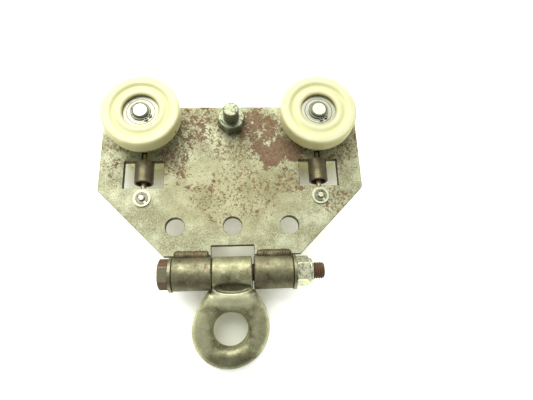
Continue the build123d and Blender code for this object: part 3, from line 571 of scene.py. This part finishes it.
slot_of = {part["node"]: part["material_slot"] for part in frame["record"]["subparts"]}
for node_name, node in frame["nodes"].items():
    node.data.materials.clear()
    node.data.materials.append(LOOKS[slot_of[node_name]])


def dress(piece, slot):
    piece.data.materials.append(LOOKS[slot])
    return piece


# ---- load eye -------------------------------------------------------------------------------------

BARREL_X = -0.6
BARREL_HALF = 14.0
BARREL_RADIUS = 11.7
BARREL_BORE_RADIUS = 6.06
RING_HALF_THICKNESS = 7.5
RING_POWER = 2.3  # 2 gives the ring an oval section, and more a squarer one
NECK_HALF_THICKNESS = 7.3
NECK_WIDEST_DROP = 25.9
NECK_WIDEST_HALF = 23.7
NECK_TAPER = 0.52  # half width lost per mm of height
SHOULDER_TOP_DROP = 12.6
WEB_HALF = 13.9
HOLLOW_DROP = 9.7
HOLLOW_HALF = (12.6, 3.7)
HOLLOW_FLOOR = 4.6  # its distance from the mid-plane
HOLLOW_WALL_RADIUS = 8.0  # the least distance from the bore's axis
EYE_CELL = 0.6


def build_load_eye():
    """The forging: barrel, neck and ring in one blended skin, with a hollow low on the barrel's faces."""
    up = np.array([0, HINGE[1] - EYE_CENTRE[1], HINGE[2] - EYE_CENTRE[2]])
    drop = np.linalg.norm(up) / MM
    up /= np.linalg.norm(up)
    low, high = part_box("load_eye")
    shift = EYE_CENTRE[0] / MM - BARREL_X
    hole_radius = mounts["load_eye"]["dims"]["r_mm"]
    outer_radius = (high.x - low.x) / MM / 2
    ring_mid = (hole_radius + outer_radius) / 2
    ring_half = (outer_radius - hole_radius) / 2

    def barrel_field(a, u, n):
        # an arc-shaped step low on the barrel's faces, where the dies' relief starts
        arc = 1 - np.hypot(a / 14.5, (u + 11.5) / 8.5)
        solid = rounded(np.hypot(u, n) - BARREL_RADIUS, np.abs(a) - BARREL_HALF, 1.0)
        return solid + 0.55 * np.clip(arc * 9, 0, 1) * (u < -1)

    def ring_field(leaned, u, n):
        reach = np.hypot(leaned, u + drop) - ring_mid
        section = (np.abs(reach) / ring_half) ** RING_POWER + (np.abs(n) / RING_HALF_THICKNESS) ** RING_POWER
        return (section ** (1 / RING_POWER) - 1) * ring_half

    def neck_field(a, leaned, u, n):
        width = NECK_WIDEST_HALF - NECK_TAPER * (NECK_WIDEST_DROP + u)
        flank = (np.abs(leaned) - width) * cos(atan(NECK_TAPER))
        depth = np.abs(n) - NECK_HALF_THICKNESS
        shoulders = rounded(np.maximum(flank, np.maximum(u + SHOULDER_TOP_DROP, -u - 25.0)), depth, 4.0)
        web = rounded(np.maximum(np.abs(a) - WEB_HALF, np.maximum(u + 2.0, -u - 19.0)), depth, 2.5)
        return smooth_union(shoulders, web, 1.5)

    def hollow_field(a, u, n):
        across, tall = HOLLOW_HALF
        oval = (np.hypot(a / across, (u + HOLLOW_DROP) / tall) - 1) * tall
        return np.maximum(rounded(oval, HOLLOW_FLOOR - np.abs(n), 1.2), HOLLOW_WALL_RADIUS - np.hypot(u, n))

    def field(a, u, n):
        leaned = a + shift * u / drop
        body = smooth_union(neck_field(a, leaned, u, n), ring_field(leaned, u, n), 4.0)
        body = smooth_union(body, barrel_field(a, u, n), 1.4)
        body = smooth_cut(body, hollow_field(a, u, n), 0.7)
        body = body + 0.09 * ripple(a, u, n, 9.0, 5)
        hole = hole_radius - 0.05 - np.hypot(leaned, u + drop)
        body = np.where(hole > 0, np.maximum(body, hole), body)
        return np.maximum(body, BARREL_BORE_RADIUS - np.hypot(u, n))

    across = outer_radius + abs(shift) + MARGIN
    thick = BARREL_RADIUS + 0.8
    vertices, faces = field_mesh(
        field, (-across, -drop - outer_radius - MARGIN, -thick),
        (across, BARREL_RADIUS + MARGIN, thick), EYE_CELL
    )
    origin = np.array([BARREL_X * MM, HINGE[1], HINGE[2]])
    basis = np.stack([np.array([1.0, 0, 0]), up, EYE_FACE])
    piece = new_piece("load_eye_forging", origin + vertices * MM @ basis, faces, "load_eye",
                      ["load_eye"])
    return dress(piece, "forged_steel")


build_load_eye()


# ---- weld beads -----------------------------------------------------------------------------------

WELD_RADIUS = 3.8
WELD_INNER_GAP = 1.8  # from the tube's inner end, so that the swinging eye clears the bead
WELD_TAPER = 1.6
WELD_RIPPLE_PITCH = 1.7
WELD_CELL = 0.4


def build_weld(end, side):
    """One uneven fillet bead between the plate's face and the top of a hinge tube."""
    low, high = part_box("hinge_welds")
    tube_low, tube_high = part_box(f"hinge_tube_{end}")
    outer_x = high.x / MM
    tube_end = tube_low.x if ENDS[end] > 0 else -tube_high.x
    inner_x = tube_end / MM + WELD_INNER_GAP
    middle = (outer_x + inner_x) / 2
    half = (outer_x - inner_x) / 2 - 0.6 * WELD_RADIUS
    centre_d = high.y / MM - WELD_RADIUS
    centre_z = high.z / MM - WELD_RADIUS
    seed = 7 * ENDS[end] + 3 * SIDES[side]

    def field(x, d, z):
        along = x - middle
        gap = WELD_TAPER * np.maximum(np.abs(along) - half, 0)
        waver = 0.8 * np.sin(along * 0.9 + seed)
        size = WELD_RADIUS - 0.30 + 0.16 * np.sin(along * 2 * pi / WELD_RIPPLE_PITCH + waver)
        size = size + 0.28 * ripple(along, d, z, 7.0, 20 + seed)
        lift = 0.25 * ripple(along, 0 * d, 0 * z, 11.0, 40 + seed)
        return np.sqrt(gap**2 + (d - centre_d) ** 2 + (z - centre_z - lift) ** 2) - size

    around = WELD_RADIUS + MARGIN
    vertices, faces = field_mesh(
        field, (inner_x - MARGIN, centre_d - around, centre_z - around),
        (outer_x + MARGIN, centre_d + around, centre_z + around), WELD_CELL
    )
    mirrored = np.array([ENDS[end], SIDES[side], 1.0])
    if ENDS[end] * SIDES[side] < 0:
        faces = faces[:, ::-1]
    replaced = ["hinge_welds"] if (side, end) == ("front", "left") else []
    piece = new_piece(f"weld_bead_{side}_{end}", vertices * mirrored * MM, faces, "carriage",
                      replaced)
    return dress(piece, "weld_steel")


for side_name, end_name in PLACES:
    build_weld(end_name, side_name)


# ---- hinge bolt and lock nut ----------------------------------------------------------------------

BOLT_HEAD_HEIGHT = 7.5
SHANK_RADIUS = 6.0
THREAD_RADIUS = 6.05
THREAD_DEPTH = 0.85
THREAD_PITCH = 1.75
THREAD_SHOWN = 13.0  # the stretch of thread that the nut leaves in view, and a little under it
THREAD_STEP = 0.14
THREAD_SEGMENTS = 72
HEAD_CELL = 0.5
LOCK_NUT_HEX_HEIGHT = 9.3
LOCK_NUT_COLLAR_RADIUS = 9.0
LOCK_NUT_BORE_RADIUS = 6.15
LOCK_NUT_CELL = 0.45


def hexagon_field(t, v, w, height, turn):
    """A hexagon from t = 0 to height, its corners turned down at both ends and all its edges softened."""
    spoke = [v * cos(radians(turn + 60 * k)) + w * sin(radians(turn + 60 * k)) for k in range(6)]
    flats = np.maximum.reduce(spoke) - HEX_FLATS / 2
    ends = np.abs(t - height / 2) - height / 2
    cone = (np.hypot(v, w) - HEX_FLATS / 2 - 0.2) * cos(pi / 3) + ends * sin(pi / 3)
    return smooth_cut(rounded(flats, ends, HEX_EDGE_RADIUS), -cone, 0.3)


def hexagon_mesh(field, height, cell):
    """The mesh of a field that fits round a hexagon of this height."""
    reach = HEX_RADIUS + MARGIN
    return field_mesh(field, (-MARGIN, -reach, -reach), (height + MARGIN, reach, reach), cell)


def build_hinge_bolt():
    """The long bolt: a rounded hexagon head, a plain shank and a real helical thread at its end."""
    head_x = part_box("hinge_bolt")[0].x / MM
    turn = HEX_TURNS["hinge_bolt"]
    vertices, faces = hexagon_mesh(
        lambda t, v, w: hexagon_field(t, v, w, BOLT_HEAD_HEIGHT, turn), BOLT_HEAD_HEIGHT, HEAD_CELL
    )
    vertices = vertices + (head_x, 0, 0)
    end = HINGE_END / MM
    start = end - THREAD_SHOWN
    plain = [head_x + BOLT_HEAD_HEIGHT - MARGIN, start - 0.01]
    along = np.concatenate([plain, np.arange(start, end, THREAD_STEP), [end]])
    turns = np.arange(THREAD_SEGMENTS) * 2 * pi / THREAD_SEGMENTS
    x, angle = np.meshgrid(along, turns, indexing="ij")
    phase = (x / THREAD_PITCH - angle / (2 * pi)) % 1
    groove = THREAD_DEPTH * np.clip(np.abs(2 * phase - 1) * 1.25 - 0.1, 0, 1)
    radius = np.where(x < start, SHANK_RADIUS, THREAD_RADIUS - groove)
    radius = np.minimum(radius, 4.9 + 1.0 * (end - x))  # the end's chamfer
    shank = np.stack([x, radius * np.cos(angle), radius * np.sin(angle)], axis=-1).reshape(-1, 3)
    rings, around = x.shape
    sides = []
    for r in range(rings - 1):
        for s in range(around):
            a, b = r * around + s, r * around + (s + 1) % around
            sides.append((a, b, b + around, a + around))
    caps = [tuple(reversed(range(around))), tuple(range((rings - 1) * around, rings * around))]
    offset = len(vertices)
    joined = list(faces) + [tuple(offset + i for i in face[::-1]) for face in sides + caps]
    place = np.concatenate([vertices, shank]) + (0, HINGE[1] / MM, HINGE[2] / MM)
    piece = new_piece("hinge_bolt_threaded", place * MM, joined, "carriage", ["hinge_bolt"])
    return dress(piece, "rusty_steel")


def build_lock_nut():
    """The lock nut: a softened hexagon that runs into the round collar over its insert."""
    low, height = LOCK_NUT_LOW.x / MM, (LOCK_NUT_HIGH.x - LOCK_NUT_LOW.x) / MM

    def field(t, v, w):
        reach = np.hypot(v, w)
        body = hexagon_field(t, v, w, LOCK_NUT_HEX_HEIGHT, HEX_TURNS["lock_nut"])
        ring = rounded(reach - LOCK_NUT_COLLAR_RADIUS, np.abs(t - height / 2 - 2) - height / 2 + 2, 1.1)
        return np.maximum(smooth_union(body, ring, 0.7), LOCK_NUT_BORE_RADIUS - reach)

    vertices, faces = hexagon_mesh(field, height, LOCK_NUT_CELL)
    place = vertices + (low, HINGE[1] / MM, HINGE[2] / MM)
    piece = new_piece("lock_nut_collared", place * MM, faces, "carriage", ["lock_nut"])
    return dress(piece, "lock_nut_zinc")


build_hinge_bolt()
build_lock_nut()


# ---- wheels ---------------------------------------------------------------------------------------

WHEEL_LIP_RADIUS = 13.2
WHEEL_POCKET_RADIUS = 14.0
WHEEL_SEGMENTS = 128
SPAN_STEPS = 8


def build_wheel(side, end):
    """The moulded wheel with its dished face, crowned tread and softened edges."""
    low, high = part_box(f"wheel_{side}_{end}")
    radius = (high.x - low.x) / MM / 2
    inner, outer = sorted((abs(low.y) / MM, abs(high.y) / MM))
    lip, pocket = WHEEL_LIP_RADIUS, WHEEL_POCKET_RADIUS
    bearing_low, bearing_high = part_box(f"bearing_outer_ring_{side}_{end}")
    near, far = sorted((abs(bearing_low.y) / MM, abs(bearing_high.y) / MM))
    face = bezier([
        (lip, outer - 1.7), (lip + 0.1, outer - 1.0), (lip + 1.2, outer - 0.5), (lip + 2.9, outer - 0.5),
        (lip + 4.6, outer - 0.5), (lip + 5.2, outer - 1.3), (lip + 6.9, outer - 1.25),
        (lip + 8.4, outer - 1.2), (lip + 8.8, outer), (lip + 10.8, outer),
        (radius - 2.6, outer), (radius - 2.0, outer), (radius - 1.2, outer - 0.2),
        (radius - 0.5, outer - 0.5), (radius - 0.1, outer - 1.1), (radius, outer - 1.9),
        (radius, outer - 3.4), (radius, outer - 5.0), (radius, (inner + outer) / 2),
        (radius, inner + 4.4), (radius - 0.05, inner + 3.4), (radius - 0.15, inner + 2.4),
        (radius - 0.25, inner + 1.2), (radius - 0.9, inner), (radius - 2.2, inner),
        (radius - 8.0, inner), (lip + 4.0, inner), (lip + 1.5, inner),
        (lip + 0.6, inner), (lip, inner + 0.4), (lip, inner + 1.0),
    ], SPAN_STEPS)
    outline = face + [(lip, near), (pocket, near), (pocket, far), (lip, far)]
    centre = (ENDS[end] * AXLE_X, 0, AXLE_Z)
    vertices, faces = lathe_mesh(np.array(outline) * MM, WHEEL_SEGMENTS, centre, SIDES[side])
    piece = new_piece(f"wheel_tyre_{side}_{end}", vertices, faces, f"wheel_{side}_{end}",
                      [f"wheel_{side}_{end}"])
    return dress(piece, "nylon")


for side_name, end_name in PLACES:
    build_wheel(side_name, end_name)


# ---- camera, light and stage ----------------------------------------------------------------------

scene = bpy.context.scene
scene.view_settings.view_transform = "Standard"

camera_data = bpy.data.cameras.new("camera")
camera = bpy.data.objects.new("camera", camera_data)
scene.collection.objects.link(camera)
CAMERA_PLACE = (0.0069, -0.2979, -0.1350)
CAMERA_TURN = radians(-3.63)
CAMERA_RISE = radians(18.57)
CAMERA_ROLL = radians(-2.19)
camera.matrix_world = (
    Matrix.Translation(CAMERA_PLACE)
    @ Matrix.Rotation(CAMERA_TURN, 4, "Z")
    @ Matrix.Rotation(pi / 2 + CAMERA_RISE, 4, "X")
    @ Matrix.Rotation(CAMERA_ROLL, 4, "Z")
)
camera_data.lens = 28.03
camera_data.sensor_width = 36.0
camera_data.clip_start = 0.01
scene.camera = camera


def area_light(name, place, aim, size, power):
    """A soft square lamp that points at aim."""
    data = bpy.data.lights.new(name, "AREA")
    data.shape = "SQUARE"
    data.size = size
    data.energy = power
    lamp = bpy.data.objects.new(name, data)
    scene.collection.objects.link(lamp)
    lamp.location = place
    lamp.rotation_euler = (Vector(aim) - Vector(place)).to_track_quat("-Z", "Y").to_euler()
    return lamp


LIGHT_AIM = (0, 0, -0.03)
area_light("key", (-0.30, -1.05, 0.70), LIGHT_AIM, 1.30, 23.5)
area_light("rear_fill", (0.50, 1.10, 0.60), LIGHT_AIM, 1.00, 9.0)


def build_world():
    """Soft light from all round, brighter above than below. Seen directly it is plain pale grey."""
    world = bpy.data.worlds.new("studio")
    scene.world = world
    world.use_nodes = True
    tree = world.node_tree
    light = tree.nodes["Background"]
    split = tree.nodes.new("ShaderNodeSeparateXYZ")
    tree.links.new(tree.nodes.new("ShaderNodeTexCoord").outputs["Generated"], split.inputs[0])
    rise = tree.nodes.new("ShaderNodeMapRange")
    rise.interpolation_type = "SMOOTHSTEP"
    tree.links.new(split.outputs["Z"], rise.inputs["Value"])
    for name, value in (("From Min", -0.60), ("From Max", 0.70), ("To Min", 0.30), ("To Max", 0.75)):
        rise.inputs[name].default_value = value
    tree.links.new(rise.outputs[0], light.inputs["Strength"])
    light.inputs["Color"].default_value = (1.0, 1.0, 0.97, 1)
    plain = tree.nodes.new("ShaderNodeBackground")
    plain.inputs["Color"].default_value = (0.86, 0.86, 0.84, 1)
    mixed = tree.nodes.new("ShaderNodeMixShader")
    seen = tree.nodes.new("ShaderNodeLightPath").outputs["Is Camera Ray"]
    for socket, value in zip(mixed.inputs, (seen, light.outputs[0], plain.outputs[0])):
        tree.links.new(value, socket)
    tree.links.new(mixed.outputs[0], tree.nodes["World Output"].inputs["Surface"])


def stage_look():
    """Pale matt paper on its front, and clear from behind so that the object can be seen from all sides. It glows,
    painted light that is weaker where parts of the object are near, a painted shade.
    """
    look = Look("stage_paper", roughness=0.95)
    look.shader.inputs["Specular IOR Level"].default_value = 0.1
    look.colour(look.mix(look.noise(0.08, 201.0), (0.92, 0.93, 0.79), (0.94, 0.95, 0.82)))
    glow_occlusion = look.tree.nodes.new("ShaderNodeAmbientOcclusion")  # painted glow: the open table is overexposed, and near the object it glows less, a painted shade
    glow_occlusion.inputs["Distance"].default_value = 0.035
    look.shader.inputs["Emission Color"].default_value = (1.0, 1.0, 1.0, 1)
    painted_glow = look.step(glow_occlusion.outputs["AO"], 0.30, 0.80, 0.0, 0.75)
    look.feed(look.shader.inputs["Emission Strength"], painted_glow)
    clear = look.tree.nodes.new("ShaderNodeBsdfTransparent")
    facing = look.tree.nodes.new("ShaderNodeNewGeometry").outputs["Backfacing"]
    mixed = look.node("ShaderNodeMixShader", facing, look.shader.outputs[0], clear.outputs[0])
    look.tree.links.new(mixed.outputs[0], look.tree.nodes["Material Output"].inputs["Surface"])
    return look.material


STAGE_REACH = 1.2
STAGE_GAP = 0.0004


def build_stage():
    """The flat pale surface that the trolley lies on, with its rear wheels and its eye touching it."""
    reach, place = STAGE_REACH, cad_box[1].y + STAGE_GAP
    corners = [(-reach, place, -reach), (reach, place, -reach), (reach, place, reach), (-reach, place, reach)]
    mesh = bpy.data.meshes.new("stage_sheet")
    mesh.from_pydata(corners, [], [(0, 1, 2, 3)])
    mesh.materials.append(stage_look())
    sheet = bpy.data.objects.new("stage_sheet", mesh)
    scene.collection.objects.link(sheet)
    sheet.visible_shadow = False


build_world()
build_stage()
